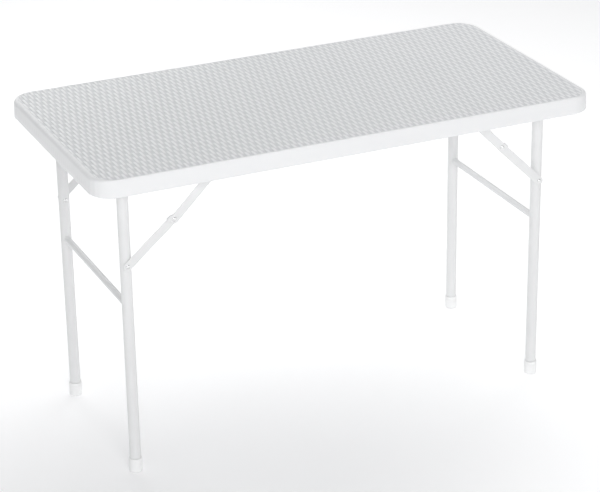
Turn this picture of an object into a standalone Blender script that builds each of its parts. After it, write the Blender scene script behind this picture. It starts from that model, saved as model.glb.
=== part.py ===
"""Folding table: a blow-moulded top on two folding leg frames of round steel tube.

Frame: metres, +Z up, origin on the floor below the middle of the top, +X along the length, -Y the front.
The leg frames are alike and stand turned half round from each other. Each sits a little off the middle
line, towards opposite long sides, so that they lie side by side in the hollow of the top when folded.
"""

import math

import bmesh
import bpy
from mathutils import Matrix, Vector

# ---- driving dimensions ----
TABLE_HEIGHT = 0.740
TOP_LENGTH = 1.200
TOP_WIDTH = 0.600
TOP_CORNER_RADIUS = 0.055
TOP_EDGE_ROUND = 0.005
SKIRT_HEIGHT = 0.042
RIM_WIDTH = 0.024
PANEL_THICKNESS = 0.011
TOP_WALL = 0.003

FRAME_X = 0.515                # pivot tube and legs, from the middle of the top
LEG_SPACING = 0.408            # between the two legs of a frame
FRAME_OFFSET = 0.0142          # of a frame from the middle line
PIVOT_HEIGHT = 0.713
TUBE_RADIUS = 0.0127
TUBE_WALL = 0.0012
PIVOT_TUBE_LENGTH = 0.486
CROSSBAR_RADIUS = 0.0075
CROSSBAR_WALL = 0.0010
CROSSBAR_HEIGHT = 0.409

CAP_RADIUS = 0.0151
CAP_HEIGHT = 0.034
CAP_FLOOR = 0.003

STRAP_WIDTH = 0.020
STRAP_THICKNESS = 0.002
LEG_RIVET_HEIGHT = 0.507
RIVET_RADIUS = 0.003
RIVET_HEAD_RADIUS = 0.0052
RIVET_HEAD_HEIGHT = 0.0021
# Distances outwards from a leg's centre line to the inner faces of the brace's layers.
LOWER_LINK_LAYER = 0.0136
UPPER_LINK_LAYER = 0.0181
EAR_LAYER = 0.0204
STOP_TAB_LENGTH = 0.012
STOP_TAB_THICKNESS = 0.0018

BRACKET_SCREW_RADIUS = 0.0022
GAP = 0.0003                   # between neighbouring pieces that touch
HOLE_CLEARANCE = 0.0003

TUBE_SIDES = 24
SMALL_SIDES = 12

# Each frame: which end it stands at, where its brace brackets are, and how far past straight its
# braces lock, in degrees.
FRAMES = {
    "left": {"end": -1, "brace_x": 0.2905, "lock_angle": 4.5},
    "right": {"end": 1, "brace_x": 0.3120, "lock_angle": 1.0},
}
SIDES = {"front": -1, "back": 1}

# ---- values worked out from them ----
SKIRT_BOTTOM = TABLE_HEIGHT - SKIRT_HEIGHT
PANEL_BOTTOM = TABLE_HEIGHT - PANEL_THICKNESS
STRAP_HALF = STRAP_WIDTH / 2


def clear_scene():
    for obj in list(bpy.data.objects):
        bpy.data.objects.remove(obj, do_unlink=True)


def make_collection(name):
    collection = bpy.data.collections.new(name)
    bpy.context.scene.collection.children.link(collection)
    return collection


def make_material(name, colour, roughness, metallic=0.0):
    material = bpy.data.materials.new(name)
    material.use_nodes = True
    shader = material.node_tree.nodes["Principled BSDF"]
    shader.inputs["Base Color"].default_value = (*colour, 1.0)
    shader.inputs["Roughness"].default_value = roughness
    shader.inputs["Metallic"].default_value = metallic
    return material


clear_scene()
PARTS = make_collection("folding_table")
CUTTERS = make_collection("cutters")
HDPE = make_material("white_hdpe", (0.72, 0.73, 0.74), 0.45)
PAINTED_STEEL = make_material("white_painted_steel", (0.78, 0.79, 0.80), 0.35)
CAP_PLASTIC = make_material("white_cap_plastic", (0.76, 0.77, 0.77), 0.50)
ZINC = make_material("zinc_plated_steel", (0.62, 0.63, 0.65), 0.35, 0.8)


# ---- helpers ----
def link_object(name, mesh, collection, material=None):
    obj = bpy.data.objects.new(name, mesh)
    collection.objects.link(obj)
    if material is not None:
        mesh.materials.append(material)
    return obj


def part(name, mesh, material):
    """Put a mesh in the model as one named part, smooth on its round faces."""
    mesh.shade_smooth()
    mesh.set_sharp_from_angle(angle=math.radians(35))
    return link_object(name, mesh, PARTS, material)


def cutter(name, mesh):
    obj = link_object(name, mesh, CUTTERS)
    obj.hide_render = True
    obj.display_type = "WIRE"
    return obj


def cut(obj, tool, operation="DIFFERENCE"):
    modifier = obj.modifiers.new(f"{operation.lower()} {tool.name}", "BOOLEAN")
    modifier.operation = operation
    modifier.object = tool
    modifier.solver = "EXACT"
    return modifier


def cylinder_mesh(name, radius, start, end, sides):
    """A solid cylinder between two points."""
    start, end = Vector(start), Vector(end)
    axis = end - start
    bm = bmesh.new()
    bmesh.ops.create_cone(bm, cap_ends=True, segments=sides, radius1=radius, radius2=radius,
                          depth=axis.length)
    turn = Vector((0, 0, 1)).rotation_difference(axis).to_matrix().to_4x4()
    bm.transform(Matrix.Translation((start + end) / 2) @ turn)
    mesh = bpy.data.meshes.new(name)
    bm.to_mesh(mesh)
    bm.free()
    return mesh


def box_mesh(name, low, high):
    low, high = Vector(low), Vector(high)
    bm = bmesh.new()
    bmesh.ops.create_cube(bm, size=1.0)
    bm.transform(Matrix.Translation((low + high) / 2) @ Matrix.Diagonal((*(high - low), 1.0)))
    mesh = bpy.data.meshes.new(name)
    bm.to_mesh(mesh)
    bm.free()
    return mesh


def tube(name, radius, wall, start, end, sides, material):
    """A hollow tube: an open cylinder with Solidify for its wall."""
    start, end = Vector(start), Vector(end)
    axis = end - start
    bm = bmesh.new()
    bmesh.ops.create_cone(bm, cap_ends=False, segments=sides, radius1=radius, radius2=radius,
                          depth=axis.length)
    turn = Vector((0, 0, 1)).rotation_difference(axis).to_matrix().to_4x4()
    bm.transform(Matrix.Translation((start + end) / 2) @ turn)
    mesh = bpy.data.meshes.new(name)
    bm.to_mesh(mesh)
    bm.free()
    obj = part(name, mesh, material)
    shell = obj.modifiers.new("wall", "SOLIDIFY")
    shell.thickness = wall
    shell.offset = -1
    return obj


def arc(centre, radius, start_degrees, end_degrees, steps):
    points = []
    for i in range(steps + 1):
        angle = math.radians(start_degrees + (end_degrees - start_degrees) * i / steps)
        points.append((centre[0] + radius * math.cos(angle), centre[1] + radius * math.sin(angle)))
    return points


def circle(centre, radius, sides):
    return arc(centre, radius, 0, 360 * (sides - 1) / sides, sides - 1)


def plate_mesh(name, outlines, low, high):
    """A flat outline, with any holes, as a filled 2D curve of the given height, made a mesh."""
    curve = bpy.data.curves.new(name, "CURVE")
    curve.dimensions = "2D"
    curve.fill_mode = "BOTH"
    curve.extrude = (high - low) / 2
    for outline in outlines:
        spline = curve.splines.new("POLY")
        spline.points.add(len(outline) - 1)
        for point, (x, y) in zip(spline.points, outline):
            point.co = (x, y, 0.0, 1.0)
        spline.use_cyclic_u = True
    obj = bpy.data.objects.new(name, curve)
    PARTS.objects.link(obj)
    bpy.context.view_layer.update()
    evaluated = obj.evaluated_get(bpy.context.evaluated_depsgraph_get())
    mesh = bpy.data.meshes.new_from_object(evaluated)
    bpy.data.objects.remove(obj, do_unlink=True)
    bm = bmesh.new()
    bm.from_mesh(mesh)
    bmesh.ops.remove_doubles(bm, verts=bm.verts, dist=0.00001)
    bmesh.ops.recalc_face_normals(bm, faces=bm.faces)
    bm.transform(Matrix.Translation((0, 0, (low + high) / 2)))
    bm.to_mesh(mesh)
    bm.free()
    mesh.name = name
    return mesh


def stand_up(mesh):
    """Turn a plate drawn in X and Y so that it stands in X and Z, its height running along -Y."""
    mesh.transform(Matrix.Rotation(math.radians(90), 4, "X"))
    return mesh


def rounded_rectangle(length, width, radius, steps=8):
    x, y = length / 2 - radius, width / 2 - radius
    outline = []
    for centre, start in (((x, y), 0), ((-x, y), 90), ((-x, -y), 180), ((x, -y), 270)):
        outline += arc(centre, radius, start, start + 90, steps)
    return outline


def turned(name, profile, origin, direction, sides, material):
    """A turned piece: a profile (radius, height) run top to bottom on its outer side, with Screw."""
    mesh = bpy.data.meshes.new(name)
    mesh.from_pydata([(r, 0.0, h) for r, h in profile], [(i, i + 1) for i in range(len(profile) - 1)], [])
    obj = link_object(name, mesh, PARTS, material)
    screw = obj.modifiers.new("turn", "SCREW")
    screw.steps = sides
    screw.render_steps = sides
    screw.use_merge_vertices = True
    screw.merge_threshold = 0.00001
    screw.use_smooth_shade = True
    obj.location = origin
    obj.rotation_mode = "QUATERNION"
    obj.rotation_quaternion = Vector((0, 0, 1)).rotation_difference(Vector(direction))
    return obj


# ---- table top ----
def make_table_top():
    """Double-walled: an outer block less the hollow underneath, and less the space between its walls."""
    outline = rounded_rectangle(TOP_LENGTH, TOP_WIDTH, TOP_CORNER_RADIUS)
    mesh = plate_mesh("table_top", [outline], SKIRT_BOTTOM, TABLE_HEIGHT)
    top = part("table_top", mesh, HDPE)
    edge = top.modifiers.new("rounded edge", "BEVEL")
    edge.width = TOP_EDGE_ROUND
    edge.segments = 3
    edge.limit_method = "ANGLE"
    edge.angle_limit = math.radians(60)

    hollow = rounded_rectangle(TOP_LENGTH - 2 * RIM_WIDTH, TOP_WIDTH - 2 * RIM_WIDTH,
                               TOP_CORNER_RADIUS - RIM_WIDTH, 5)
    underside = cutter("underside_cutter", plate_mesh("underside_cutter", [hollow],
                                                      SKIRT_BOTTOM - 0.02, PANEL_BOTTOM))
    cut(top, underside)

    inset = TOP_EDGE_ROUND * 0.3 + TOP_WALL
    core = rounded_rectangle(TOP_LENGTH - 2 * inset, TOP_WIDTH - 2 * inset, TOP_CORNER_RADIUS - inset, 6)
    cavity = cutter("cavity_cutter", plate_mesh("cavity_cutter", [core],
                                                SKIRT_BOTTOM + TOP_WALL, TABLE_HEIGHT - TOP_WALL))
    ring = rounded_rectangle(TOP_LENGTH - 2 * (RIM_WIDTH - TOP_WALL), TOP_WIDTH - 2 * (RIM_WIDTH - TOP_WALL),
                             TOP_CORNER_RADIUS - RIM_WIDTH + TOP_WALL, 5)
    wall = cutter("wall_cutter", plate_mesh("wall_cutter", [ring],
                                            SKIRT_BOTTOM - 0.02, PANEL_BOTTOM + TOP_WALL))
    cut(cavity, wall)
    cut(top, cavity)
    return top


def drill_top(top, name, x, y):
    """A screw hole through the lower wall of the top, into the space between the walls."""
    hole = cutter(f"{name}_hole", cylinder_mesh(f"{name}_hole", BRACKET_SCREW_RADIUS + HOLE_CLEARANCE,
                                                (x, y, PANEL_BOTTOM - 0.002),
                                                (x, y, PANEL_BOTTOM + TOP_WALL + 0.001), SMALL_SIDES))
    cut(top, hole)


def screw(name, x, y, seat):
    """A pan-head screw, its head below the flange that it holds at height seat."""
    head, shank = 0.0040, BRACKET_SCREW_RADIUS
    tip = PANEL_BOTTOM + TOP_WALL + 0.003
    profile = [(0.0, tip), (shank * 0.4, tip), (shank, tip - 0.002), (shank, seat), (head, seat),
               (head, seat - 0.0012), (head * 0.7, seat - 0.0020), (0.0, seat - 0.0022)]
    return turned(name, profile, (x, y, 0), (0, 0, 1), SMALL_SIDES, ZINC)


# ---- leg frames ----
def leg_centre(frame, side):
    """The y of a leg's centre line. The left frame is set towards the front, the right one back."""
    return frame["end"] * FRAME_OFFSET + SIDES[side] * LEG_SPACING / 2


def make_leg(label, frame, side):
    x, y = frame["end"] * FRAME_X, leg_centre(frame, side)
    outwards = SIDES[side]
    leg = tube(f"leg_tube_{label}", TUBE_RADIUS, TUBE_WALL, (x, y, CAP_FLOOR + GAP), (x, y, PIVOT_HEIGHT),
               TUBE_SIDES, PAINTED_STEEL)
    saddle = cylinder_mesh(f"leg_saddle_{label}", TUBE_RADIUS + GAP, (x, y - 0.03, PIVOT_HEIGHT),
                           (x, y + 0.03, PIVOT_HEIGHT), TUBE_SIDES)
    cut(leg, cutter(f"leg_saddle_{label}", saddle))
    drilling = cylinder_mesh(f"leg_drilling_{label}", RIVET_RADIUS + HOLE_CLEARANCE,
                             (x, y - 0.03, LEG_RIVET_HEIGHT), (x, y + 0.03, LEG_RIVET_HEIGHT), SMALL_SIDES)
    cut(leg, cutter(f"leg_drilling_{label}", drilling))

    cap_profile = [(0.0, 0.0), (CAP_RADIUS - 0.0025, 0.0), (CAP_RADIUS - 0.0008, 0.0010),
                   (CAP_RADIUS, 0.0030), (CAP_RADIUS, CAP_HEIGHT - 0.003),
                   (CAP_RADIUS - 0.0006, CAP_HEIGHT - 0.0008), (CAP_RADIUS - 0.0014, CAP_HEIGHT),
                   (TUBE_RADIUS + GAP, CAP_HEIGHT), (TUBE_RADIUS + GAP, CAP_FLOOR), (0.0, CAP_FLOOR)]
    turned(f"foot_cap_{label}", cap_profile[::-1], (x, y, 0), (0, 0, 1), 24, CAP_PLASTIC)

    crown, head = TUBE_RADIUS, TUBE_RADIUS + GAP
    tail_profile = [(0.0, crown), (RIVET_RADIUS, crown), (RIVET_RADIUS, -head), (RIVET_HEAD_RADIUS, -head),
                    (RIVET_HEAD_RADIUS * 0.92, -head - RIVET_HEAD_HEIGHT * 0.6),
                    (RIVET_HEAD_RADIUS * 0.55, -head - RIVET_HEAD_HEIGHT), (0.0, -head - RIVET_HEAD_HEIGHT)]
    turned(f"leg_rivet_{label}", tail_profile, (x, y, LEG_RIVET_HEIGHT), (0, outwards, 0), SMALL_SIDES, ZINC)


def make_frame_bars(name, frame):
    x, middle = frame["end"] * FRAME_X, frame["end"] * FRAME_OFFSET
    half = PIVOT_TUBE_LENGTH / 2
    tube(f"pivot_tube_{name}", TUBE_RADIUS, TUBE_WALL, (x, middle - half, PIVOT_HEIGHT),
         (x, middle + half, PIVOT_HEIGHT), TUBE_SIDES, PAINTED_STEEL)
    crossbar = tube(f"crossbar_{name}", CROSSBAR_RADIUS, CROSSBAR_WALL,
                    (x, middle - LEG_SPACING / 2, CROSSBAR_HEIGHT),
                    (x, middle + LEG_SPACING / 2, CROSSBAR_HEIGHT), 20, PAINTED_STEEL)
    for side in SIDES:
        y = leg_centre(frame, side)
        coping = cylinder_mesh(f"coping_{name}_{side}", TUBE_RADIUS + GAP, (x, y, CROSSBAR_HEIGHT - 0.03),
                               (x, y, CROSSBAR_HEIGHT + 0.03), TUBE_SIDES)
        cut(crossbar, cutter(f"coping_{name}_{side}", coping))


# ---- folding braces ----
def brace_geometry(frame):
    """Where a brace's three pivots are, in X and Z, for a frame at +X.

    The brace folds flat when the links differ in length by as much as the bracket and the leg's rivet
    differ in distance from the leg's pivot. Their sum follows from the angle at which the elbow locks.
    """
    bracket = Vector((frame["brace_x"], PIVOT_HEIGHT))
    foot = Vector((FRAME_X, LEG_RIVET_HEIGHT))
    span = (bracket - foot).length
    difference = (FRAME_X - bracket.x) - (PIVOT_HEIGHT - foot.y)
    bend = math.radians(frame["lock_angle"])
    share = math.sin(bend / 2) ** 2
    total = math.sqrt((span ** 2 - difference ** 2 * share) / (1 - share))
    upper, lower = (total + difference) / 2, (total - difference) / 2
    lean = math.asin(upper * math.sin(bend) / span)
    rise = math.atan2(bracket.y - foot.y, foot.x - bracket.x) - lean
    elbow = foot + Vector((-math.cos(rise), math.sin(rise))) * lower
    return bracket, elbow, foot


def strap_outline(start, end, ear=()):
    """A strap with round ends. The points of an ear at its far end, if any, replace part of that end."""
    direction = math.degrees(math.atan2(end.y - start.y, end.x - start.x))
    last = direction + 5 if ear else direction + 90
    return (arc(start, STRAP_HALF, direction + 90, direction + 270, 10)
            + arc(end, STRAP_HALF, direction - 90, last, 8) + list(ear))


def rivet_hole(centre):
    return circle(centre, RIVET_RADIUS + HOLE_CLEARANCE, SMALL_SIDES)


def layer_mesh(name, outlines, frame, side, inner, thickness):
    """A plate drawn for a frame at +X, stood up beside its leg and mirrored to the frame's own end."""
    y, outwards = leg_centre(frame, side), SIDES[side]
    faces = sorted((y + outwards * inner, y + outwards * (inner + thickness)))
    placed = [[(frame["end"] * px, pz) for px, pz in outline] for outline in outlines]
    return stand_up(plate_mesh(name, placed, -faces[1], -faces[0]))


def make_brace(label, frame, side):
    """Two straps. The upper one has a bent tab over the lower one's top edge, which stops the elbow."""
    bracket, elbow, foot = brace_geometry(frame)
    lower = layer_mesh(f"lower_link_{label}",
                       [strap_outline(foot, elbow), rivet_hole(foot), rivet_hole(elbow)],
                       frame, side, LOWER_LINK_LAYER, STRAP_THICKNESS)
    part(f"lower_link_{label}", lower, PAINTED_STEEL)

    along = (foot - elbow).normalized()
    across = Vector((-along.y, along.x))
    upwards = (bracket - elbow).normalized()
    edge = STRAP_HALF + GAP
    ear = [elbow + along * a + across * c
           for a, c in ((STOP_TAB_LENGTH + 0.0005, 0.004),
                        (STOP_TAB_LENGTH + 0.0005, edge + STOP_TAB_THICKNESS / 2),
                        (-0.003, edge + STOP_TAB_THICKNESS / 2))]
    ear.append(elbow + upwards * 0.006 + Vector((upwards.y, -upwards.x)) * STRAP_HALF)
    upper = layer_mesh(f"upper_link_{label}",
                       [strap_outline(bracket, elbow, ear), rivet_hole(bracket), rivet_hole(elbow)],
                       frame, side, UPPER_LINK_LAYER, STRAP_THICKNESS)
    upper = part(f"upper_link_{label}", upper, PAINTED_STEEL)
    corners = [elbow + along * a + across * c
               for a, c in ((0.0, edge), (STOP_TAB_LENGTH, edge),
                            (STOP_TAB_LENGTH, edge + STOP_TAB_THICKNESS), (0.0, edge + STOP_TAB_THICKNESS))]
    tab = layer_mesh(f"stop_tab_{label}", [corners], frame, side, LOWER_LINK_LAYER,
                     UPPER_LINK_LAYER + STRAP_THICKNESS / 2 - LOWER_LINK_LAYER)
    cut(upper, cutter(f"stop_tab_{label}", tab), "UNION")

    y, outwards = leg_centre(frame, side), SIDES[side]
    for make_rivet, pivot in ((elbow_rivet, elbow), (bracket_rivet, bracket), (link_rivet, foot)):
        make_rivet(label, (frame["end"] * pivot.x, y, pivot.y), (0, outwards, 0))


def domed_head(seat):
    """The outer end of a rivet, whose head sits on a face at the given height along its axis."""
    radius, height = RIVET_HEAD_RADIUS, RIVET_HEAD_HEIGHT
    return [(0.0, seat + height), (radius * 0.5, seat + height * 0.93), (radius * 0.85, seat + height * 0.6),
            (radius, seat + height * 0.25), (radius, seat), (RIVET_RADIUS, seat)]


def elbow_rivet(label, origin, direction):
    """Domed outside, flush inside, with a collar that keeps the two links apart."""
    inner = LOWER_LINK_LAYER
    collar = (inner + STRAP_THICKNESS + GAP, UPPER_LINK_LAYER - GAP)
    head = UPPER_LINK_LAYER + STRAP_THICKNESS + GAP
    profile = domed_head(head) + [(RIVET_RADIUS, collar[1]), (0.0055, collar[1]), (0.0055, collar[0]),
                                  (RIVET_RADIUS, collar[0]), (RIVET_RADIUS, inner), (0.0, inner)]
    turned(f"elbow_rivet_{label}", profile, origin, direction, SMALL_SIDES, ZINC)


def bracket_rivet(label, origin, direction):
    """Joins the upper link to its bracket: domed outside, flush inside."""
    inner = UPPER_LINK_LAYER
    head = EAR_LAYER + STRAP_THICKNESS + GAP
    profile = domed_head(head) + [(RIVET_RADIUS, inner), (0.0, inner)]
    turned(f"bracket_rivet_{label}", profile, origin, direction, SMALL_SIDES, ZINC)


def link_rivet(label, origin, direction):
    """The outer part of the rivet at the leg: domed, through the lower link, up to the tube's crown."""
    inner = TUBE_RADIUS + GAP
    head = LOWER_LINK_LAYER + STRAP_THICKNESS + GAP
    profile = domed_head(head) + [(RIVET_RADIUS, inner), (0.0, inner)]
    low_head = [(r, min(h, UPPER_LINK_LAYER - GAP)) for r, h in profile]
    turned(f"link_rivet_{label}", low_head, origin, direction, SMALL_SIDES, ZINC)


def make_brace_bracket(label, frame, side, top):
    """A steel angle under the top: a base plate, and an ear that hangs beside the upper link."""
    bracket, _, _ = brace_geometry(frame)
    x, y, outwards = frame["end"] * bracket.x, leg_centre(frame, side), SIDES[side]
    half = 0.014
    base_top = PANEL_BOTTOM - GAP
    base_bottom = base_top - STRAP_THICKNESS
    ear_top, ear_half = base_top - STRAP_THICKNESS / 2, half - 0.002
    ear_outline = [(bracket.x + ear_half, ear_top), (bracket.x - ear_half, ear_top)]
    ear_outline += arc(bracket, STRAP_HALF, 180, 360, 10)
    ear_plate = layer_mesh(f"brace_bracket_{label}", [ear_outline, rivet_hole(bracket)],
                           frame, side, EAR_LAYER, STRAP_THICKNESS)
    obj = part(f"brace_bracket_{label}", ear_plate, PAINTED_STEEL)
    near = y + outwards * (EAR_LAYER + STRAP_THICKNESS * 0.5)
    far = y + outwards * (EAR_LAYER + 0.020)
    base = box_mesh(f"bracket_base_{label}", (x - half, min(near, far), base_bottom),
                    (x + half, max(near, far), base_top))
    cut(obj, cutter(f"bracket_base_{label}", base), "UNION")
    screw_y = y + outwards * (EAR_LAYER + 0.011)
    hole = cylinder_mesh(f"bracket_hole_{label}", BRACKET_SCREW_RADIUS + HOLE_CLEARANCE,
                         (x, screw_y, base_bottom - 0.002), (x, screw_y, base_top + 0.001), SMALL_SIDES)
    cut(obj, cutter(f"bracket_hole_{label}", hole))
    drill_top(top, f"brace_screw_{label}", x, screw_y)
    screw(f"brace_screw_{label}", x, screw_y, base_bottom - GAP)


def make_pivot_bracket(label, frame, side, top):
    """A saddle clamp near the end of a pivot tube: a half ring with a flange and a screw on each side."""
    width, wall, flange, reach = 0.018, 0.0022, 0.0028, 0.034
    x, middle = frame["end"] * FRAME_X, frame["end"] * FRAME_OFFSET
    y = middle + SIDES[side] * (PIVOT_TUBE_LENGTH / 2 - 0.011)
    inner, outer = TUBE_RADIUS + GAP, TUBE_RADIUS + GAP + wall
    flange_top = PANEL_BOTTOM - GAP
    flange_bottom = flange_top - flange
    centre = (x, PIVOT_HEIGHT)
    outline = [(x + reach, flange_top), (x + inner, flange_top)]
    outline += arc(centre, inner, 0, -180, 16)
    outline += [(x - inner, flange_top), (x - reach, flange_top), (x - reach, flange_bottom),
                (x - outer, flange_bottom)]
    outline += arc(centre, outer, 180, 360, 16)
    outline += [(x + outer, flange_bottom), (x + reach, flange_bottom)]
    mesh = stand_up(plate_mesh(f"pivot_bracket_{label}", [outline], -(y + width / 2), -(y - width / 2)))
    obj = part(f"pivot_bracket_{label}", mesh, CAP_PLASTIC)
    for place, sign in (("inner", -frame["end"]), ("outer", frame["end"])):
        screw_x = x + sign * (outer + reach) / 2
        name = f"pivot_screw_{label}_{place}"
        hole = cylinder_mesh(f"{name}_clearance", BRACKET_SCREW_RADIUS + HOLE_CLEARANCE,
                             (screw_x, y, flange_bottom - 0.002), (screw_x, y, flange_top + 0.001), SMALL_SIDES)
        cut(obj, cutter(f"{name}_clearance", hole))
        drill_top(top, name, screw_x, y)
        screw(name, screw_x, y, flange_bottom - GAP)


def build():
    top = make_table_top()
    for frame_name, frame in FRAMES.items():
        make_frame_bars(frame_name, frame)
        for side in SIDES:
            label = f"{frame_name}_{side}"
            make_leg(label, frame, side)
            make_brace(label, frame, side)
            make_brace_bracket(label, frame, side, top)
            make_pivot_bracket(label, frame, side, top)


build()
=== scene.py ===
"""Folding table: the looks of each piece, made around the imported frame.

Metres, +Z up, the floor at 0, +X along the length of the top, -Y towards the front.
"""
import math

import bmesh
import bpy
import numpy as np
from mathutils import Matrix, Vector


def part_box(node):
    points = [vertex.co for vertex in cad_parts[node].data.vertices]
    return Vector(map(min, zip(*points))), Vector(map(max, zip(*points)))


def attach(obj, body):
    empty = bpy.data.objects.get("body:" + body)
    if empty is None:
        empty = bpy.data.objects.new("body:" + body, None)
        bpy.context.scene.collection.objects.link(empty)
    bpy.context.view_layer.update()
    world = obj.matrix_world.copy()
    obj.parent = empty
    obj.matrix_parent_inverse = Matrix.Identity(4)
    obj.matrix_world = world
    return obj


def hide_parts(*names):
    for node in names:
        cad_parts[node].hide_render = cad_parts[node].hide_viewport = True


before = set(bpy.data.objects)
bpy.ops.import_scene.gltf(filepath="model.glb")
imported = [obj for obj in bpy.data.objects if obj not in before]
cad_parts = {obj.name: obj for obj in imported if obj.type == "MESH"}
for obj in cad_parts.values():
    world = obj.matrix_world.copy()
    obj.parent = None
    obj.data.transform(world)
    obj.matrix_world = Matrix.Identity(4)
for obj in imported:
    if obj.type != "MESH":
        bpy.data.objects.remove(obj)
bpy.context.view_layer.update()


# ---- camera ----
# A long lens, in front of the table, to its left and above it. The azimuth is taken from straight in
# front, and the roll turns the camera a little about its own axis.
camera_place = (-1.93754, -4.32239, 2.47131)
focal_length, sensor_width = 132.637, 36
azimuth, elevation, roll = map(math.radians, (-24.0805, 24.0105, -0.9463))
back = Vector((math.sin(azimuth) * math.cos(elevation),
               -math.cos(azimuth) * math.cos(elevation), math.sin(elevation)))
right = Vector((0, 0, 1)).cross(back).normalized()
above = back.cross(right)
turn = Matrix((right, above, back)).transposed() @ Matrix.Rotation(roll, 3, "Z")
camera = bpy.data.objects.new("camera", bpy.data.cameras.new("camera"))
camera.data.lens, camera.data.sensor_width = focal_length, sensor_width
camera.data.clip_end = 60
camera.matrix_world = Matrix.Translation(camera_place) @ turn.to_4x4()
bpy.context.scene.collection.objects.link(camera)
bpy.context.scene.camera = camera


# ---- studio ----
# A white floor that glows evenly, but for a painted shadow round the front left of the table, where its glow
# is dimmer; all in an even room that is brightest near the horizon. Five soft boxes: one high on the back
# right, one behind, two low ones to the left and right of the camera, and the strongest high in front.
class Value:
    """A number on a socket. Operators on it add Math nodes, so shader maths reads as an expression."""

    def __init__(self, finish, socket):
        self.finish, self.socket = finish, socket

    def maths(self, operation, first, second):
        return self.finish.node("Math", {"operation": operation}, first, second)

    def __add__(self, other):
        return self.maths("ADD", self, other)

    def __sub__(self, other):
        return self.maths("SUBTRACT", self, other)

    def __rsub__(self, other):
        return self.maths("SUBTRACT", other, self)

    def __mul__(self, other):
        return self.maths("MULTIPLY", self, other)

    __radd__, __rmul__ = __add__, __mul__

    def out(self, name):
        """Another output of the node that this value comes from."""
        return Value(self.finish, self.socket.node.outputs[name])


class Finish:
    """A material, or the world, made of nodes. Sockets are named with _ for a space."""

    def __init__(self, name, owner=None, **settings):
        self.owner = owner or bpy.data.materials.new(name)
        self.owner.use_nodes = True
        self.tree = self.owner.node_tree
        self.shader = self.tree.nodes.get("Principled BSDF") or self.tree.nodes["Background"]
        for socket, value in settings.items():
            self.set(socket.replace("_", " "), value)

    def feed(self, socket, value):
        """Links a value to a socket, or sets a plain number, colour or vector on it."""
        if isinstance(value, Value):
            self.tree.links.new(value.socket, socket)
        else:
            socket.default_value = value

    def set(self, socket, value):
        """Feeds a socket of the shader itself."""
        self.feed(self.shader.inputs[socket], value)

    def node(self, kind, settings=None, *values, **named):
        """Adds a node: its settings first, then the values or links of its sockets."""
        node = self.tree.nodes.new("ShaderNode" + kind)
        for key, value in (settings or {}).items():
            if key == "stops":
                for _ in value[2:]:
                    node.color_ramp.elements.new(1.0)
                for stop, (place, colour) in zip(node.color_ramp.elements, value):
                    stop.position, stop.color = place, colour
            else:
                setattr(node, key, value)
        for key, value in (*enumerate(values), *named.items()):
            self.feed(node.inputs[key.replace("_", " ") if isinstance(key, str) else key], value)
        return Value(self, next(o for o in node.outputs if o.enabled))

    def place(self):
        """The point's place on the piece, in metres."""
        return self.node("TexCoord").out("Object")

    def noise(self, scale, detail=2.0):
        return self.node("TexNoise", {}, Vector=self.place(), Scale=scale, Detail=detail)

    def between(self, amount, first, second):
        """The colour that lies the given amount of the way from the first to the second."""
        mixed = self.node("Mix", {"data_type": "RGBA"})
        sockets = [s for s in mixed.socket.node.inputs if s.enabled]
        for socket, value in zip(sockets, (amount, (*first, 1), (*second, 1))):
            self.feed(socket, value)
        return mixed

    def bump(self, height, distance):
        return self.node("Bump", {}, Height=height, Distance=distance, Strength=1.0)


def link(obj):
    bpy.context.scene.collection.objects.link(obj)
    return obj


floor_radius, floor_sides = 25, 96
# Painted shadow: the floor's glow drops towards a point in front of the table's left end, standing in for the
# table's shadow.
painted_shadow_centre, painted_shadow_start, painted_shadow_end = (-0.4, -0.45, 0), 0.2, 1.15
painted_shadow_glow, floor_glow = 0.10, 0.275
floor_finish = Finish("studio_floor", Roughness=0.65, Emission_Strength=1.0)
floor_finish.set("Base Color", floor_finish.between(
    floor_finish.noise(1.7), (0.925, 0.925, 0.93), (0.94, 0.94, 0.945)))
from_painted_shadow = floor_finish.node(
    "VectorMath", {"operation": "DISTANCE"}, floor_finish.place(), painted_shadow_centre).out("Value")
floor_finish.set("Emission Color", floor_finish.node(
    "MapRange", {"interpolation_type": "SMOOTHSTEP"}, from_painted_shadow, painted_shadow_start, painted_shadow_end, painted_shadow_glow, floor_glow))
floor_mesh = bpy.data.meshes.new("floor")
floor_angles = np.linspace(0, 2 * np.pi, floor_sides, endpoint=False)
floor_mesh.from_pydata(
    np.stack([floor_radius * np.cos(floor_angles), floor_radius * np.sin(floor_angles), 0 * floor_angles],
             1).tolist(), [], [list(range(floor_sides))])
floor_mesh.materials.append(floor_finish.owner)
link(bpy.data.objects.new("floor", floor_mesh))

low_tone, wall_tone, high_tone = (0.646, 0.646, 0.646, 1), (0.430, 0.432, 0.435, 1), (0.500, 0.504, 0.512, 1)
room = bpy.data.worlds.new("room")
bpy.context.scene.world = room
room_light = Finish("room", room, Strength=1.0)
upwards = room_light.node("SeparateXYZ", {}, room_light.node("TexCoord").out("Generated")).out("Z")
room_light.set("Color", room_light.node("ValToRGB", {"stops": [
    (0.25, low_tone), (0.40, wall_tone), (0.65, wall_tone), (0.80, high_tone)]}, upwards))


def soft_box(name, place, target_height, width, height, power):
    """A rectangular area light at a place, turned to face a point over the middle of the floor."""
    light = bpy.data.lights.new(name, "AREA")
    light.shape, light.size, light.size_y, light.energy = "RECTANGLE", width, height, power
    box = link(bpy.data.objects.new(name, light))
    facing = (Vector(place) - Vector((0, 0, target_height))).to_track_quat("Z", "Y")
    box.matrix_world = Matrix.Translation(place) @ facing.to_matrix().to_4x4()


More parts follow.
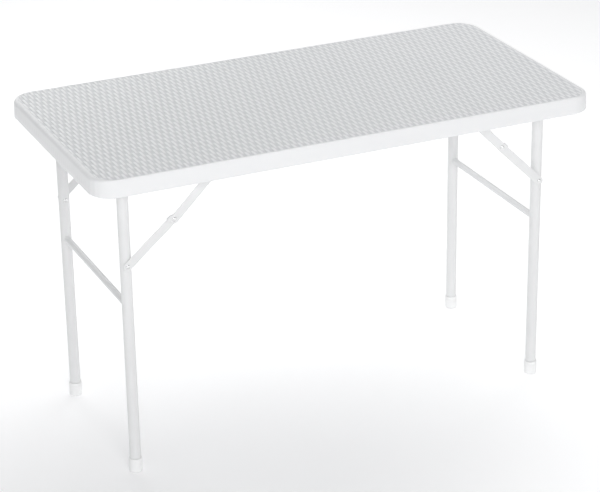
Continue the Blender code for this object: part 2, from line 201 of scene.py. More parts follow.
soft_box("back_right_box", (1.15, 1.15, 2.75), 0.3, width=2.0, height=2.0, power=23)
soft_box("back_box", (-0.2, 3.2, 1.7), 0.5, width=2.0, height=1.0, power=17)
soft_box("left_box", (-3.6, -2.0, 0.9), 0.5, width=1.2, height=1.8, power=8)
soft_box("right_box", (1.6, -3.6, 0.9), 0.5, width=1.2, height=1.8, power=8)
soft_box("front_box", (-1.2, -4.2, 2.6), 0.5, width=2.0, height=1.2, power=60)
bpy.context.scene.view_settings.view_transform = "Standard"


# ---- table top: the moulded body ----
# One hollow piece of blow-moulded white polyethylene: a lip round the top face, a rolled shoulder and a
# skirt outside, a hollow underneath, and rows of conical dimples where the lower wall meets the upper.
def close_mesh(mesh, merge_distance=0.000002, sharp_angle=40):
    """Merges doubled points, turns the faces outwards, and shades all but the sharp edges smooth."""
    bm = bmesh.new()
    bm.from_mesh(mesh)
    bmesh.ops.remove_doubles(bm, verts=bm.verts, dist=merge_distance)
    bmesh.ops.dissolve_degenerate(bm, dist=merge_distance / 2, edges=bm.edges)
    bmesh.ops.recalc_face_normals(bm, faces=bm.faces)
    bm.to_mesh(mesh)
    bm.free()
    mesh.shade_smooth()
    mesh.set_sharp_from_angle(angle=math.radians(sharp_angle))


def surface(name, points, faces, finish, body, replaced=()):
    """A piece from points (n, 3) and faces, in a finish, that rides on a body."""
    mesh = bpy.data.meshes.new(name)
    mesh.from_pydata(np.reshape(points, (-1, 3)).tolist(), [], faces)
    piece = link(bpy.data.objects.new(name, mesh))
    close_mesh(mesh)
    mesh.materials.append(finish.owner)
    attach(piece, body)
    if replaced:
        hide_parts(*replaced)
    return piece


def quads(rows, columns, wrap_rows=False, wrap_columns=False, first=0):
    """The faces of a grid of points, row after row, joined up at the ends of a direction that wraps."""
    row = np.arange(rows if wrap_rows else rows - 1)[:, None]
    column = np.arange(columns if wrap_columns else columns - 1)[None, :]
    below, beside = (row + 1) % rows, (column + 1) % columns
    corners = [row * columns + column, row * columns + beside, below * columns + beside,
               below * columns + column]
    return (np.stack([np.broadcast_to(c, corners[0].shape) for c in corners], -1).reshape(-1, 4)
            + first).tolist()


def ease(amount):
    """Smoothstep: 3t^2 - 2t^3, where t is the amount, held between 0 and 1."""
    t = np.clip(amount, 0, 1)
    return t * t * (3 - 2 * t)


hdpe = Finish("white_hdpe", Roughness=0.42, Specular_IOR_Level=0.45)
hdpe.set("Base Color", hdpe.between(hdpe.noise(7.0, 3.0), (0.80, 0.805, 0.815), (0.84, 0.845, 0.85)))
hdpe.set("Roughness", 0.38 + 0.10 * hdpe.noise(60.0))
# Faint ribs run over the shoulder and down the skirt at the two ends, where the strands' ends turn over.
rib_pitch, rib_start, rib_full = 0.0131, 0.584, 0.590
place_on_top = hdpe.node("SeparateXYZ", {}, hdpe.place())
from_middle = hdpe.node("Math", {"operation": "ABSOLUTE"}, place_on_top.out("X"))
at_end = hdpe.node("MapRange", {}, from_middle, rib_start, rib_full)
rib_wave = hdpe.node("Math", {"operation": "SINE"}, place_on_top.out("Y") * (2 * math.pi / rib_pitch))
grain = hdpe.noise(1500.0, 1.0) + 6.0 * hdpe.noise(45.0, 1.0)
hdpe.set("Normal", hdpe.bump(grain + 5.0 * (rib_wave * at_end), 0.00004))

top_low, top_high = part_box("table_top")
top_half = np.array([top_high.x, top_high.y])
corner_radius = 0.055
lip_height, skirt_bottom = top_high.z - 0.0012, top_low.z
# The lower wall's cells, each with one dimple: how many along and across, and the steps across a cell and
# round half a corner.
cells, cell_steps, corner_steps = (24, 11), 10, 14


def border(per_long, per_short, half_corner):
    """Points and outward normals round the core of the rounded rectangle, from the front left anticlockwise.

    A corner's normal swings a quarter turn about the corner's centre. Half of each corner belongs to a
    long side and half to a short one, so that a grid can end on the border.
    """
    core = top_half - corner_radius
    along_x, along_y = np.linspace(-1, 1, per_long + 1), np.linspace(-1, 1, per_short + 1)
    swing = np.linspace(0, np.pi / 2, half_corner * 2 + 1)[1:-1]
    points, normals = [], []
    for quarter, (steps, flat, outwards) in enumerate((
            (along_x, (1, -1), (0, -1)), (along_y, (1, 1), (1, 0)),
            (along_x, (1, 1), (0, 1)), (along_y, (-1, 1), (-1, 0)))):
        going = steps if quarter < 2 else -steps
        side = (np.stack([going * core[0], np.full(len(steps), flat[1] * core[1])], 1) if quarter % 2 == 0
                else np.stack([np.full(len(steps), flat[0] * core[0]), going * core[1]], 1))
        points += [side, np.repeat(side[-1:], len(swing), 0)]
        start = math.atan2(outwards[1], outwards[0])
        normals += [np.repeat([outwards], len(steps), 0),
                    np.stack([np.cos(start + swing), np.sin(start + swing)], 1)]
    return np.concatenate(points), np.concatenate(normals).astype(float)


core, outwards = border(cells[0] * cell_steps, cells[1] * cell_steps, corner_steps)
endness = outwards[:, 0] ** 2                    # 1 on the short sides, 0 on the long ones
lip_width = 0.0027 + 0.0078 * endness
shoulder = 0.0015 + 0.0075 * endness             # how far in the rolled shoulder starts
drop = 0.0046 + 0.0045 * endness                 # and how far down it ends


def ring(inset, height):
    """The border moved inwards from the outer edge by inset, at a height; either may vary round it."""
    flat = core + outwards * (corner_radius - np.broadcast_to(inset, endness.shape))[:, None]
    return np.concatenate([flat, np.broadcast_to(height, endness.shape)[:, None]], 1)


# The rings start under the woven face and go over the lip and the shoulder, down the skirt, which leans
# out a little, round its foot, up the inside of the rim and into the lower wall.
lean, foot_radius, rim_width = 0.0011, 0.0030, 0.024
rim_foot, rim_inside = rim_width - 0.0045, rim_width - 0.0015
wall_height, wall_fillet = top_high.z - 0.011, 0.005
quarter_turn = np.linspace(0, np.pi / 2, 7)
coarse_turn = quarter_turn[::2]
rings = [ring(lip_width + inset, lip_height - below)
         for inset, below in ((0.0030, 0.0030), (0.0028, 0.0006), (0.0022, 0.0001), (0.0010, 0))]
rings += [ring(lean + shoulder * (1 - np.sin(a)), lip_height - drop * (1 - np.cos(a))) for a in quarter_turn]
rings += [ring(lean * (1 - s), (lip_height - drop) * (1 - s) + (skirt_bottom + 0.004) * s)
          for s in np.linspace(0, 1, 7)[1:-1]]
rings += [ring(foot_radius * (1 - np.cos(a)), skirt_bottom + foot_radius * (1 - np.sin(a)))
          for a in coarse_turn]
rings += [ring(rim_foot + foot_radius * np.sin(a), skirt_bottom + foot_radius * (1 - np.cos(a)))
          for a in coarse_turn]
rings += [ring(rim_inside + 0.0012 * s, skirt_bottom + foot_radius + (wall_height - 0.008 - skirt_bottom) * s)
          for s in (0.33, 0.66)]
rings += [ring(rim_width + wall_fillet * (1 - np.cos(a)), wall_height - wall_fillet * (1 - np.sin(a)))
          for a in coarse_turn]

# The lower wall: a grid that ends on the innermost ring. Coons: each point is the sum of the two
# straight blends between opposite borders, less the blend of the four corners.
long_count = cells[0] * cell_steps + 2 * corner_steps + 1
short_count = cells[1] * cell_steps + 2 * corner_steps + 1
loop = np.roll(rings[-1], corner_steps, 0)
front_side = loop[:long_count]
right_side = loop[long_count - 1:long_count + short_count - 1]
back_side = loop[long_count + short_count - 2:2 * long_count + short_count - 2][::-1]
left_side = np.concatenate([loop[2 * long_count + short_count - 3:], loop[:1]])[::-1]
# The blend runs with each side's own length, so the rows of cells stay square.
across = ((front_side[:, 0] - front_side[0, 0]) / np.ptp(front_side[:, 0]))[None, :, None]
upward = ((left_side[:, 1] - left_side[0, 1]) / np.ptp(left_side[:, 1]))[:, None, None]
lower_wall = ((1 - upward) * front_side[None] + upward * back_side[None]
              + (1 - across) * left_side[:, None] + across * right_side[:, None]
              - (1 - upward) * ((1 - across) * front_side[0] + across * front_side[-1])
              - upward * ((1 - across) * back_side[0] + across * back_side[-1]))

# A cell's square rings of points are drawn in to circles about its centre, and the middle ones lifted into
# a dimple. p and q run from -1 to 1 across a cell, and the dimple's radius and slope are measured in them.
dimple_radius, dimple_slope, dimple_height, square_margin = 0.56, 0.26, 0.0062, 0.4
cell_x = (np.arange(long_count) - corner_steps) / cell_steps
cell_y = (np.arange(short_count) - corner_steps) / cell_steps
p = 2 * (cell_x - np.floor(cell_x)) - 1
q = 2 * (cell_y - np.floor(cell_y)) - 1
inside = ((cell_x >= 0) & (cell_x < cells[0]))[None, :] & ((cell_y >= 0) & (cell_y < cells[1]))[:, None]
p, q = np.broadcast_to(p[None, :], inside.shape), np.broadcast_to(q[:, None], inside.shape)
square, circle = np.maximum(abs(p), abs(q)), np.hypot(p, q)
roundness = np.where(inside, np.clip((1.0 - square) / square_margin, 0, 1), 0)
pull = np.where(circle > 0, 1 + roundness * (square / np.maximum(circle, 1e-9) - 1), 1)
cell_size = 2 * (top_half - corner_radius) / cells
lower_wall[..., 0] += p * (pull - 1) * cell_size[0] / 2
lower_wall[..., 1] += q * (pull - 1) * cell_size[1] / 2
lift = ease((dimple_radius - circle * pull) / dimple_slope)
lower_wall[..., 2] += np.where(inside, dimple_height * lift, 0)

# Under the woven face, a fan of faces round one point closes the body.
body_points = np.concatenate([np.reshape(rings, (-1, 3)), lower_wall.reshape(-1, 3),
                              [[0, 0, lip_height - 0.0030]]])
around, hub = len(core), len(body_points) - 1
fan = [[hub, i, (i + 1) % around] for i in range(around)]
surface("table_top_body", body_points,
        quads(len(rings), around, wrap_columns=True)
        + quads(short_count, long_count, first=len(rings) * around) + fan,
        hdpe, "top", ["table_top"])


# ---- table top: the woven face ----
# The same moulding's top face, embossed like cane: rounded strands side by side across the table, each
# rising over one cross strip and dipping under the next, in turn with its neighbours.
strand_pitch, strip_pitch = 0.00775, 0.0262
relief, groove_height = 0.0018, top_high.z - 0.0019
face_end = 76 * strand_pitch
face_rows = 165
fade_width = 0.0016                              # the strands die away over this at the lip
dip, dip_width, back_depth = 0.0008, 0.0012, 0.0014

cane = Finish("white_hdpe_cane", Roughness=0.40, Specular_IOR_Level=0.5)
crown = cane.node("Attribute", {"attribute_name": "crown"}).out("Fac")
# Painted shade: the colour darkens from the crowns down into the grooves, standing in for the shade that
# falls in them.
cane.set("Base Color", cane.between(crown, (0.60, 0.61, 0.625), (0.82, 0.825, 0.835)))
cane.set("Roughness", 0.46 - 0.10 * crown)
cane.set("Normal", cane.bump(cane.noise(1500.0, 1.0), 0.00004))


def cane_height(x, y):
    """Height of the weave, 0 to 1: a rounded section across each strand, times a swell along it.

    The swell is a wave along the strand, two cross strips long, half a wave out from its neighbours'.
    """
    count = x / strand_pitch
    strand = np.floor(count + 1e-6)
    across = 2 * (count - strand) - 1
    section = np.clip(1 - across ** 2, 0, 1) ** 0.6
    swell = ease(0.5 + 0.5 * np.cos(np.pi * (y / strip_pitch + strand)))
    return section * (0.14 + 0.86 * swell)


def cane_face(name, start, end):
    """Half of the woven face, from x = start to end, with a flat back.

    Columns stand at set places across each strand. Every column is stretched along Y to meet the curve
    of the lip's inner edge, and the strands die away there and dip under the lip.
    """
    places = np.array([0.0, 0.06, 0.22, 0.5, 0.78, 0.94])
    strands = np.arange(round(start / strand_pitch), round(end / strand_pitch))
    x = np.append((strands[:, None] + places).ravel(), strands[-1] + 1) * strand_pitch
    lip_edge = ring(lip_width + 0.0004, 0)
    front_edge = lip_edge[lip_edge[:, 1] < 0]
    front_edge = front_edge[np.argsort(front_edge[:, 0])]
    reach = np.interp(x, front_edge[:, 0], -front_edge[:, 1])
    y = np.linspace(-1, 1, face_rows)[:, None] * reach[None, :]
    x = np.broadcast_to(x, y.shape)
    inwards = np.minimum(reach[None, :] - abs(y), face_end - abs(x))
    height = cane_height(x, y) * ease(inwards / fade_width)
    z = groove_height + relief * height - dip * (1 - np.clip(inwards / dip_width, 0, 1))
    face = np.stack([x, y, z], -1)
    rows, columns = z.shape
    # The border's loop is carried down to the flat back, which is one long strip per column.
    edge = np.concatenate([np.arange(columns), np.arange(1, rows) * columns + columns - 1,
                           (rows - 1) * columns + np.arange(columns - 1)[::-1],
                           np.arange(1, rows - 1)[::-1] * columns])
    back_points = face.reshape(-1, 3)[edge].copy()
    back_points[:, 2] = groove_height - back_depth
    first, count = rows * columns, len(edge)
    following = np.roll(np.arange(count), -1)
    walls = np.stack([edge, first + np.arange(count), first + following, edge[following]], 1).tolist()
    column = np.arange(1, columns - 2)
    opposite = 2 * (columns - 1) + rows - 1 - column
    strips = np.stack([column, column + 1, opposite - 1, opposite], 1) + first
    start_face = [first + i for i in (*range(2), *range(2 * (columns - 1) + rows - 2, count))]
    end_face = [first + i for i in range(columns - 2, columns + rows)]
    piece = surface(name, np.concatenate([face.reshape(-1, 3), back_points]),
                    quads(rows, columns) + walls + strips.tolist() + [start_face, end_face], cane, "top")
    # The finish paints shade into the grooves and lightens the crowns: 0 in the grooves, 1 from a little over
    # half of the relief.
    place = np.empty(len(piece.data.vertices) * 3)
    piece.data.vertices.foreach_get("co", place)
    shade = piece.data.attributes.new("crown", "FLOAT", "POINT")
    shade.data.foreach_set("value", np.clip((place[2::3] - groove_height) / (0.55 * relief), 0, 1))


cane_face("woven_face_left", -face_end, 0)
cane_face("woven_face_right", 0, face_end)


# ---- pivot tubes ----
# Each leg frame swings on a painted steel tube that lies across the hollow of the top. Its open ends show
# the wall of the tube.
powder = Finish("white_powder_coat", Roughness=0.34, Specular_IOR_Level=0.5)
powder.set("Base Color", powder.between(
    powder.noise(25.0, 3.0), (0.755, 0.76, 0.762), (0.795, 0.798, 0.80)))
powder.set("Roughness", 0.30 + 0.10 * powder.noise(140.0))
powder.set("Normal", powder.bump(powder.noise(900.0, 1.0) + 0.4 * powder.noise(2600.0, 1.0), 0.00003))

frame_ends, leg_sides = {"left": -1, "right": 1}, {"front": -1, "back": 1}
tube_radius, tube_wall, tube_sides, edge_break = 0.0127, 0.0012, 56, 0.0003


def tube(name, radius, wall, start, end, into_start, into_end, body, replaced, lengths):
    """A tube between two points on its axis, whose ends are coped to cylinders of the given radii.

    The axis is square to X, and so is the cylinder at each end. At an angle whose offset along X is x the
    end is drawn back by sqrt(into^2 - x^2). An end that meets nothing has into = 0 and is cut square.
    """
    start, end = np.array(start, float), np.array(end, float)
    length = np.linalg.norm(end - start)
    axis, first = (end - start) / length, np.array([1.0, 0, 0])
    second = np.cross(axis, first)
    angles = np.linspace(0, 2 * np.pi, tube_sides, endpoint=False)

    def rows(r, places):
        """Circles of radius r at places from 0 to 1 between the two coped ends."""
        x = r * np.cos(angles)
        near = np.sqrt(np.maximum(into_start ** 2 - x ** 2, 0))
        far = length - np.sqrt(np.maximum(into_end ** 2 - x ** 2, 0))
        along = near + (far - near) * np.array(places)[:, None]
        radial = r * (np.cos(angles)[:, None] * first + np.sin(angles)[:, None] * second)
        return start + along[..., None] * axis + radial[None]

    chamfer = edge_break / length
    points = np.concatenate([rows(radius - edge_break, [0.0]),
                             rows(radius, np.linspace(chamfer, 1 - chamfer, lengths)),
                             rows(radius - edge_break, [1.0]), rows(radius - wall, [1.0, 0.0])])
    surface(name, points, quads(len(points), tube_sides, True, True), powder, body, replaced)


def centre(node):
    low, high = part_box(node)
    return (low + high) / 2


pivots = {}
for end in frame_ends:
    low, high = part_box(f"pivot_tube_{end}")
    pivots[end] = middle = centre(f"pivot_tube_{end}")
    tube(f"cross_tube_{end}", tube_radius, tube_wall,
         (middle.x, low.y, middle.z), (middle.x, high.y, middle.z),
         0, 0, f"{end}_leg_frame", [f"pivot_tube_{end}"], lengths=12)


# ---- legs and crossbars ----
# Round steel tube, welded up before it is painted: two legs under each cross tube, with a thinner bar
# between them, and a rippled bead of weld round each joint.
bead_sides, bead_steps, ripples, ripple_depth = 12, 120, 15, 0.10
bead_angles = np.linspace(0, 2 * np.pi, bead_steps, endpoint=False)
bead_cos, bead_sin, flat = np.cos(bead_angles), np.sin(bead_angles), 0 * bead_angles


def weld_bead(name, path, first, second, radius, body):
    """A closed bead along a joint: circles in the plane of the two walls' normals, swelling in ripples."""
    first = first / np.linalg.norm(first, axis=1)[:, None]
    second = second - (second * first).sum(1)[:, None] * first
    second = second / np.linalg.norm(second, axis=1)[:, None]
    angles = np.linspace(0, 2 * np.pi, bead_sides, endpoint=False)
    swell = radius * (1 + ripple_depth * np.sin(bead_angles * ripples))
    points = path[:, None] + swell[:, None, None] * (np.cos(angles)[None, :, None] * first[:, None]
                                                     + np.sin(angles)[None, :, None] * second[:, None])
    piece = surface(name, points, quads(bead_steps, bead_sides, True, True), powder, body)


leg_bead, bar_bead = 0.0014, 0.0016
bar_radius, bar_wall = 0.0075, 0.0010
for end in frame_ends:
    body, pivot = f"{end}_leg_frame", pivots[end]
    bar_height = centre(f"crossbar_{end}").z
    leg_y = {side: centre(f"leg_tube_{end}_{side}").y for side in leg_sides}
    for side, y in leg_y.items():
        leg = f"leg_tube_{end}_{side}"
        tube(f"leg_{end}_{side}", tube_radius, tube_wall,
             (pivot.x, y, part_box(leg)[0].z), (pivot.x, y, pivot.z),
             0, tube_radius, body, [leg], lengths=24)
        # A bead follows the saddle curve in which the leg meets the cross tube, or the bar the leg.
        x, depth = tube_radius * 0.995 * bead_cos, tube_radius * 0.995 * bead_sin
        fall = np.sqrt(tube_radius ** 2 - x ** 2)
        weld_bead(f"leg_weld_{end}_{side}", np.stack([pivot.x + x, y + depth, pivot.z - fall], 1),
                  np.stack([bead_cos, bead_sin, flat], 1), np.stack([x, flat, -fall], 1) + [0, 0, -0.001],
                  leg_bead, body)
        inwards = -leg_sides[side]
        x, z = bar_radius * bead_cos, bar_radius * bead_sin
        out = np.sqrt(tube_radius ** 2 - x ** 2)
        weld_bead(f"bar_weld_{end}_{side}", np.stack([pivot.x + x, y + inwards * out, bar_height + z], 1),
                  np.stack([bead_cos, flat, bead_sin], 1), np.stack([x, inwards * out, flat], 1),
                  bar_bead, body)
    tube(f"crossbar_tube_{end}", bar_radius, bar_wall,
         (pivot.x, leg_y["front"], bar_height), (pivot.x, leg_y["back"], bar_height),
         tube_radius, tube_radius, body, [f"crossbar_{end}"], lengths=10)


# ---- foot caps ----
# Moulded plastic cups pushed over the ends of the legs, a little wider than the tube, with a soft lower
# edge, a shallow groove near the top and a parting line down two sides.
cap_finish = Finish("white_cap_plastic", Roughness=0.5, Specular_IOR_Level=0.4)
cap_finish.set("Base Color", cap_finish.between(
    cap_finish.noise(120.0, 2.0), (0.88, 0.885, 0.885), (0.92, 0.92, 0.92)))
cap_finish.set("Roughness", 0.46 + 0.12 * cap_finish.noise(300.0))
cap_finish.set("Normal", cap_finish.bump(cap_finish.noise(1800.0, 1.0), 0.00003))


def turned(profile, start, axis, sides):
    """Points of a turned piece: a profile (radius, distance along the axis) swung round the axis."""
    start, axis = np.array(start, float), np.array(axis, float) / np.linalg.norm(axis)
    first = np.cross(axis, [0.0, 0, 1] if abs(axis[2]) < 0.9 else [1.0, 0, 0])
    first /= np.linalg.norm(first)
    second = np.cross(axis, first)
    angles = np.linspace(0, 2 * np.pi, sides, endpoint=False)
    radial = np.cos(angles)[:, None] * first + np.sin(angles)[:, None] * second
    profile = np.array(profile, float)
    return start + profile[:, 1, None, None] * axis + profile[:, 0, None, None] * radial[None]


def arc_profile(centre_r, centre_h, radius, start, end, steps=5):
    """Points (radius, height) of a rounded edge, from one angle to another in degrees."""
    angles = np.radians(np.linspace(start, end, steps))
    return np.stack([centre_r + radius * np.cos(angles), centre_h + radius * np.sin(angles)], 1)


cap_sides, sole_edge, mouth_edge, seam_height = 64, 0.0030, 0.0012, 0.00025
cap_bore, cap_floor = tube_radius + 0.0003, 0.0031
for end in frame_ends:
    for side in leg_sides:
        low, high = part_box(f"foot_cap_{end}_{side}")
        radius, height = (high.x - low.x) / 2, high.z
        # From the sole's middle up the outside, past the groove, over the mouth and down the bore.
        profile = np.concatenate([
            [(0, 0.0004), (0.006, 0.0004), (0.0066, 0)],
            arc_profile(radius - sole_edge, sole_edge, sole_edge, -90, 0, 7),
            [(radius - 0.0001, height * 0.5), (radius - 0.0001, height - 0.0068),
             (radius - 0.0005, height - 0.0063), (radius - 0.0005, height - 0.0056),
             (radius, height - 0.0051)],
            arc_profile(radius - mouth_edge, height - mouth_edge, mouth_edge, 0, 90),
            [(cap_bore, height), (cap_bore, cap_floor), (0, cap_floor)]])
        axis_x = pivots[end].x
        points = turned(profile, (axis_x, centre(f"leg_tube_{end}_{side}").y, 0), (0, 0, 1), cap_sides)
        # The parting line: the points on two opposite sides of the outer wall stand a little proud.
        outer_wall, seam = profile[:, 0] > radius - 0.0006, np.arange(cap_sides) % (cap_sides // 2) == 0
        sideways = np.sign(points[..., 0] - axis_x)
        points[..., 0] += np.where(outer_wall[:, None] & seam, seam_height * sideways, 0)
        surface(f"cap_{end}_{side}", points, quads(len(profile), cap_sides, wrap_columns=True),
                cap_finish, f"{end}_leg_frame", [f"foot_cap_{end}_{side}"])


# ---- braces ----
# Flat steel straps with round ends and sheared, softened edges. The upper strap of each pair carries a
# bent tab that lies over the lower one and stops the elbow just past straight.
strap_half, strap_rim, strap_thickness = 0.010, 0.0009, 0.002
hole_radius, hole_land = 0.0033, 0.0063          # the hole, and the ring of points on the face round it


def strap(name, start, end, y, body, replaced):
    """A strap between two pivots (x, z), in the plane y.

    Half of it is a set of loops round one pivot: wall of the hole, face, rounded edge and other face. A
    loop's reach at an angle is the round end's radius, the distance to the straight side, or that to the
    middle of the strap, where the edge is left out and the other half, turned half round, joins on.
    """
    start, end = np.array(start), np.array(end)
    length = np.linalg.norm(end - start)
    flat = strap_half - strap_rim
    corner = math.atan2(flat, length / 2)
    middle_angles = np.arctan(np.linspace(-1, 1, 7) * flat / (length / 2))
    side_angles = np.arctan2(flat, np.linspace(length / 2, 0, 9)[1:])
    end_angles = np.linspace(np.pi / 2, 3 * np.pi / 2, 25)[1:-1]
    angles = np.concatenate([middle_angles, side_angles, end_angles, 2 * np.pi - side_angles[::-1]])
    wrapped = (angles + np.pi) % (2 * np.pi) - np.pi
    mid, rounded = abs(wrapped) < corner + 1e-9, abs(wrapped) > np.pi / 2
    reach = np.where(mid, length / 2 / np.cos(wrapped),
                     np.where(rounded, flat, flat / np.maximum(abs(np.sin(wrapped)), 1e-9)))
    direction = np.stack([np.cos(angles), np.sin(angles)], 1)
    edge = direction * reach[:, None]
    normal = np.where(rounded[:, None], direction, np.stack([0 * angles, np.sign(np.sin(angles))], 1))
    half, bend = strap_thickness / 2, np.radians([0, 30, 60, 90])

    def loop(shape, height):
        return np.concatenate([shape, np.full((len(shape), 1), height)], 1)

    rows = [loop(direction * hole_radius, -half), loop(direction * hole_radius, half),
            loop(direction * hole_land, half)]
    rows += [loop(edge + normal * strap_rim * np.sin(a), half - strap_rim * (1 - np.cos(a))) for a in bend]
    rows += [loop(edge + normal * strap_rim * np.sin(a), strap_rim * (1 - np.cos(a)) - half)
             for a in bend[::-1]]
    rows += [loop(direction * hole_land, -half)]
    local = np.stack(rows)
    faces = np.array(quads(len(rows), len(angles), True, True))
    row, column = faces[:, 0] // len(angles), faces[:, 0] % len(angles)
    # The middle's faces run from one middle angle to the next; the edge's rows lie between the two faces.
    open_edge = mid[column] & mid[(column + 1) % len(angles)] & (row >= 3) & (row < len(rows) - 2)
    faces = faces[~open_edge]
    turned_half = local * [-1, -1, 1] + [length, 0, 0]
    local = np.concatenate([local.reshape(-1, 3), turned_half.reshape(-1, 3)])
    faces = np.concatenate([faces, faces + len(rows) * len(angles)])
    along = (end - start) / length
    across = np.array([-along[1], along[0]])
    place = start + local[:, :1] * along + local[:, 1:2] * across
    points = np.stack([place[:, 0], y + local[:, 2], place[:, 1]], 1)
    surface(name, points, faces.tolist(), powder, body, replaced)


def bent_path(corners, radius, steps=6):
    """A path through corners, each rounded by a curve that is the square blend of its two tangents."""
    corners = np.array(corners, float)
    pieces = [corners[:1]]
    t = np.linspace(0, 1, steps)[:, None]
    for before, corner, after in zip(corners[:-2], corners[1:-1], corners[2:]):
        a = corner + (before - corner) / np.linalg.norm(before - corner) * radius
        b = corner + (after - corner) / np.linalg.norm(after - corner) * radius
        pieces.append((1 - t) ** 2 * a + 2 * t * (1 - t) * corner + t ** 2 * b)
    return np.concatenate(pieces + [corners[-1:]])


def strip(name, path, side, widths, thickness, finish, body, replaced=(), rim=0.0004):
    """Sheet bent along a path: a rounded flat section carried along it, its width along one direction."""
    path, side = np.array(path, float), np.array(side, float)
    tangent = np.gradient(path, axis=0)
    tangent /= np.linalg.norm(tangent, axis=1)[:, None]
    normal = np.cross(tangent, side)
    widths = np.broadcast_to(widths, len(path))
    a = np.radians(np.linspace(0, 90, 4))
    quarter = np.stack([np.sin(a), np.cos(a)], 1) * rim
    section = np.concatenate([quarter * (1, 1) + (-rim, thickness / 2 - rim),
                              (quarter * (1, -1) + (-rim, rim - thickness / 2))[::-1],
                              quarter * (-1, -1) + (rim, rim - thickness / 2),
                              (quarter * (-1, 1) + (rim, thickness / 2 - rim))[::-1]])
    edge = np.repeat([1, 1, -1, -1], 4)
    spread = section[None, :, 0] + edge[None] * widths[:, None] / 2
    points = path[:, None] + spread[..., None] * side + section[None, :, 1, None] * normal[:, None]
    count = len(section)
    ends = [list(range(count)), list(range((len(path) - 1) * count, len(path) * count))]
    return surface(name, points, quads(len(path), count, wrap_columns=True) + ends, finish, body, replaced)


# How far outwards from the legs' axes the middles of the two straps and of the bracket's ear lie.
lower_layer, upper_layer, ear_layer = 0.0146, 0.0191, 0.0214
tab_width, tab_thickness, tab_bend = 0.0118, 0.0018, 0.0016
braces = {}
for end, sign in frame_ends.items():
    for side, outwards in leg_sides.items():
        label, y = f"{end}_{side}", centre(f"leg_tube_{end}_{side}").y
        bracket, elbow, foot = (np.array([c.x, c.z]) for c in (
            centre(f"bracket_rivet_{label}"), centre(f"elbow_rivet_{label}"), centre(f"link_rivet_{label}")))
        braces[label] = (y, outwards, bracket, elbow, foot)
        upper_body, lower_body = f"{label}_upper_link", f"{label}_lower_link"
        strap(f"lower_strap_{label}", foot, elbow, y + outwards * lower_layer, lower_body,
              [f"lower_link_{label}"])
        strap(f"upper_strap_{label}", bracket, elbow, y + outwards * upper_layer, upper_body,
              [f"upper_link_{label}"])
        # The tab starts on the upper strap, a little down from the elbow, and folds over the straps' edge.
        along = (foot - elbow) / np.linalg.norm(foot - elbow)
        across = sign * np.array([-along[1], along[0]])
        middle, edge = elbow + along * 0.0060, strap_half + 0.0012

        def tab_point(out, layer):
            place = middle + across * out
            return (place[0], y + outwards * layer, place[1])

        tab_path = bent_path([tab_point(0.005, upper_layer), tab_point(edge, upper_layer),
                              tab_point(edge, lower_layer - 0.0008)], tab_bend)
        tab = strip(f"stop_tab_{label}", tab_path, (along[0], 0, along[1]), tab_width, tab_thickness,
                    powder, upper_body)


# ---- brackets under the top ----
# Each upper strap hangs from a steel angle, and each cross tube is held near its ends by two moulded
# saddle clamps, all screwed to the lower wall of the top.
ear_bend, angle_foot, ear_width, foot_flare = 0.0030, 0.0190, 0.020, 0.008
for label, (y, outwards, bracket, *_) in braces.items():
    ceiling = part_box(f"brace_bracket_{label}")[1].z - strap_thickness / 2
    ear_y, tip = y + outwards * ear_layer, bracket[1] - strap_half
    path = bent_path([(bracket[0], ear_y, tip + 0.0002), (bracket[0], ear_y, ceiling),
                      (bracket[0], y + outwards * (ear_layer + angle_foot), ceiling)], ear_bend)
    ear = path[:1] + (path[1:2] - path[:1]) * np.linspace(0, 1, 14)[:, None] ** 1.6
    path = np.concatenate([ear, path[2:]])
    # The ear's tip is half a circle. Above it the angle widens towards its foot.
    rise = path[:, 2] - tip
    round_tip = 2 * np.sqrt(np.maximum(strap_half ** 2 - (strap_half - rise) ** 2, 0))
    widths = np.where(rise < strap_half, round_tip,
                      ear_width + foot_flare * np.clip((rise - strap_half) / 0.006, 0, 1))
    strip(f"angle_{label}", path, (1, 0, 0), np.maximum(widths, 0.002), strap_thickness, powder, "top",
          [f"brace_bracket_{label}"])

saddle_thickness, saddle_bend, saddle_steps = 0.0028, 0.0045, 33
saddle_radius = tube_radius + 0.0003 + saddle_thickness / 2
round_part = np.linspace(0, np.pi, saddle_steps)
for end in frame_ends:
    for side in leg_sides:
        low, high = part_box(f"pivot_bracket_{end}_{side}")
        x, y, z, top_z = pivots[end].x, (low.y + high.y) / 2, pivots[end].z, high.z - saddle_thickness / 2
        cradle = np.stack([x + saddle_radius * np.cos(round_part), np.full(saddle_steps, y),
                           z - saddle_radius * np.sin(round_part)], 1)
        wing = bent_path([(high.x, y, top_z), (x + saddle_radius, y, top_z), (x + saddle_radius, y, z)],
                         saddle_bend)
        other = wing[::-1] * [-1, 1, 1] + [2 * x, 0, 0]
        strip(f"saddle_{end}_{side}", np.concatenate([wing[:-1], cradle, other[1:]]), (0, 1, 0),
              high.y - low.y, saddle_thickness, cap_finish, "top",
              [f"pivot_bracket_{end}_{side}"], rim=0.0007)


# ---- rivets ----
# Domed steel rivets, zinc plated and dull: one at each pivot of a brace.
zinc = Finish("zinc_plate", Metallic=1.0, Roughness=0.22)
zinc.set("Base Color", zinc.between(zinc.noise(900.0, 3.0), (0.74, 0.745, 0.75), (0.86, 0.86, 0.86)))
zinc.set("Roughness", 0.16 + 0.16 * zinc.noise(1500.0))
zinc.set("Normal", zinc.bump(zinc.noise(2500.0, 2.0), 0.00002))
rivet_radius, head_radius, head_height, collar_radius, rivet_sides = 0.003, 0.0052, 0.0021, 0.0055, 32


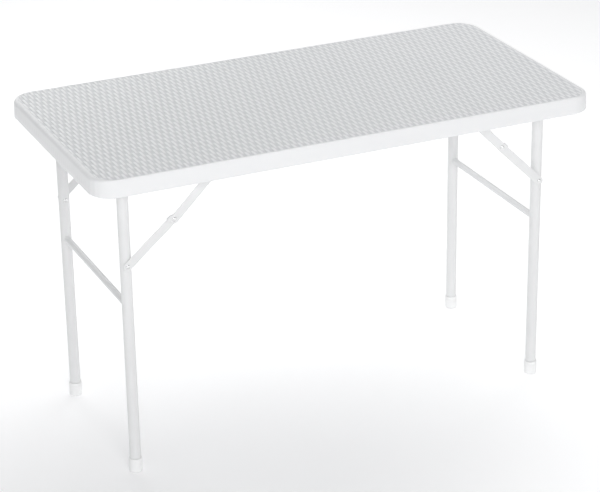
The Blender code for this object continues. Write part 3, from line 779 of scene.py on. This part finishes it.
def rivet(name, pivot, y, outwards, inner, seat, body, replaced, collar=None):
    """A shank from a flush inner end at inner to a domed head on the face at seat, outwards from y.

    A collar, if any, is a wider length of it that keeps two straps apart.
    """
    dome = [(head_radius * math.cos(a), seat + head_height * math.sin(a) ** 0.8)
            for a in np.linspace(0, math.pi / 2, 9)]
    wide = [(rivet_radius, collar[0]), (collar_radius, collar[0]),
            (collar_radius, collar[1]), (rivet_radius, collar[1])] if collar else []
    profile = [(0, inner), (rivet_radius - 0.0003, inner), (rivet_radius, inner + 0.0003), *wide,
               (rivet_radius, seat), (head_radius * 0.97, seat), *dome]
    points = turned(profile, (pivot[0], y, pivot[1]), (0, outwards, 0), rivet_sides)
    surface(name, points, quads(len(profile), rivet_sides, wrap_columns=True), zinc, body, replaced)


half, play = strap_thickness / 2, 0.0002
for label, (y, outwards, bracket, elbow, foot) in braces.items():
    rivet(f"elbow_pin_{label}", elbow, y, outwards, lower_layer - half, upper_layer + half + play,
          f"{label}_upper_link", [f"elbow_rivet_{label}"],
          (lower_layer + half + play, upper_layer - half - play))
    rivet(f"bracket_pin_{label}", bracket, y, outwards, upper_layer - half, ear_layer + half + play,
          "top", [f"bracket_rivet_{label}"])
    rivet(f"leg_pin_{label}", foot, y, outwards, tube_radius + 0.0003, lower_layer + half + play / 2,
          f"{label}_lower_link", [f"link_rivet_{label}"])
    rivet(f"leg_pin_tail_{label}", foot, y, -outwards, -tube_radius, tube_radius + play,
          f"{label.split('_')[0]}_leg_frame", [f"leg_rivet_{label}"])


# ---- screws ----
# Pan-head screws with a cross recess, of the same plated steel. The head hangs below its seat.
screw_sides, shank_radius, tip_radius, tip_length = 48, 0.0022, 0.0008, 0.002
head_drop, pan_depth, recess_depth = 0.0022, 0.0020, 0.0009
arm_half_width, arm_length = 0.00045, 0.0022     # of the recess, from the head's middle


def screw(node):
    """A head as a surface over (angle, radius): a low dome, less a cross-shaped recess in its middle."""
    low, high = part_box(node)
    x, y, seat, radius = (low.x + high.x) / 2, (low.y + high.y) / 2, low.z + head_drop, (high.x - low.x) / 2
    angles = np.linspace(0, 2 * np.pi, screw_sides, endpoint=False)
    radii = np.concatenate([np.linspace(0, 0.72, 10), [0.80, 0.90, 0.97, 1.0]]) * radius
    r, a = np.meshgrid(radii, angles, indexing="ij")
    across, along = abs(r * np.cos(a)), abs(r * np.sin(a))
    arm = np.clip((arm_half_width - np.minimum(across, along)) / 0.0002, 0, 1)
    arm = arm * np.clip((arm_length - np.maximum(across, along)) / 0.0003, 0, 1)
    depth = pan_depth * (1 - 0.55 * (r / radius) ** 2.5) - recess_depth * arm
    head = np.stack([x + r * np.cos(a), y + r * np.sin(a), seat - depth], -1)
    shank = high.z - seat
    lower = turned([(radius, 0), (shank_radius, 0), (shank_radius, shank - tip_length), (tip_radius, shank),
                    (0, shank)], (x, y, seat), (0, 0, 1), screw_sides)
    # The shank's points run the same way round as the head's.
    order = np.argsort(np.mod(np.arctan2(lower[0, :, 1] - y, lower[0, :, 0] - x), 2 * np.pi))
    points = np.concatenate([head, lower[:, order]])
    surface(node.replace("screw", "pan_screw"), points, quads(len(points), screw_sides, wrap_columns=True),
            zinc, "top", [node])


for node in sorted(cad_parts):
    if "_screw_" in node:
        screw(node)
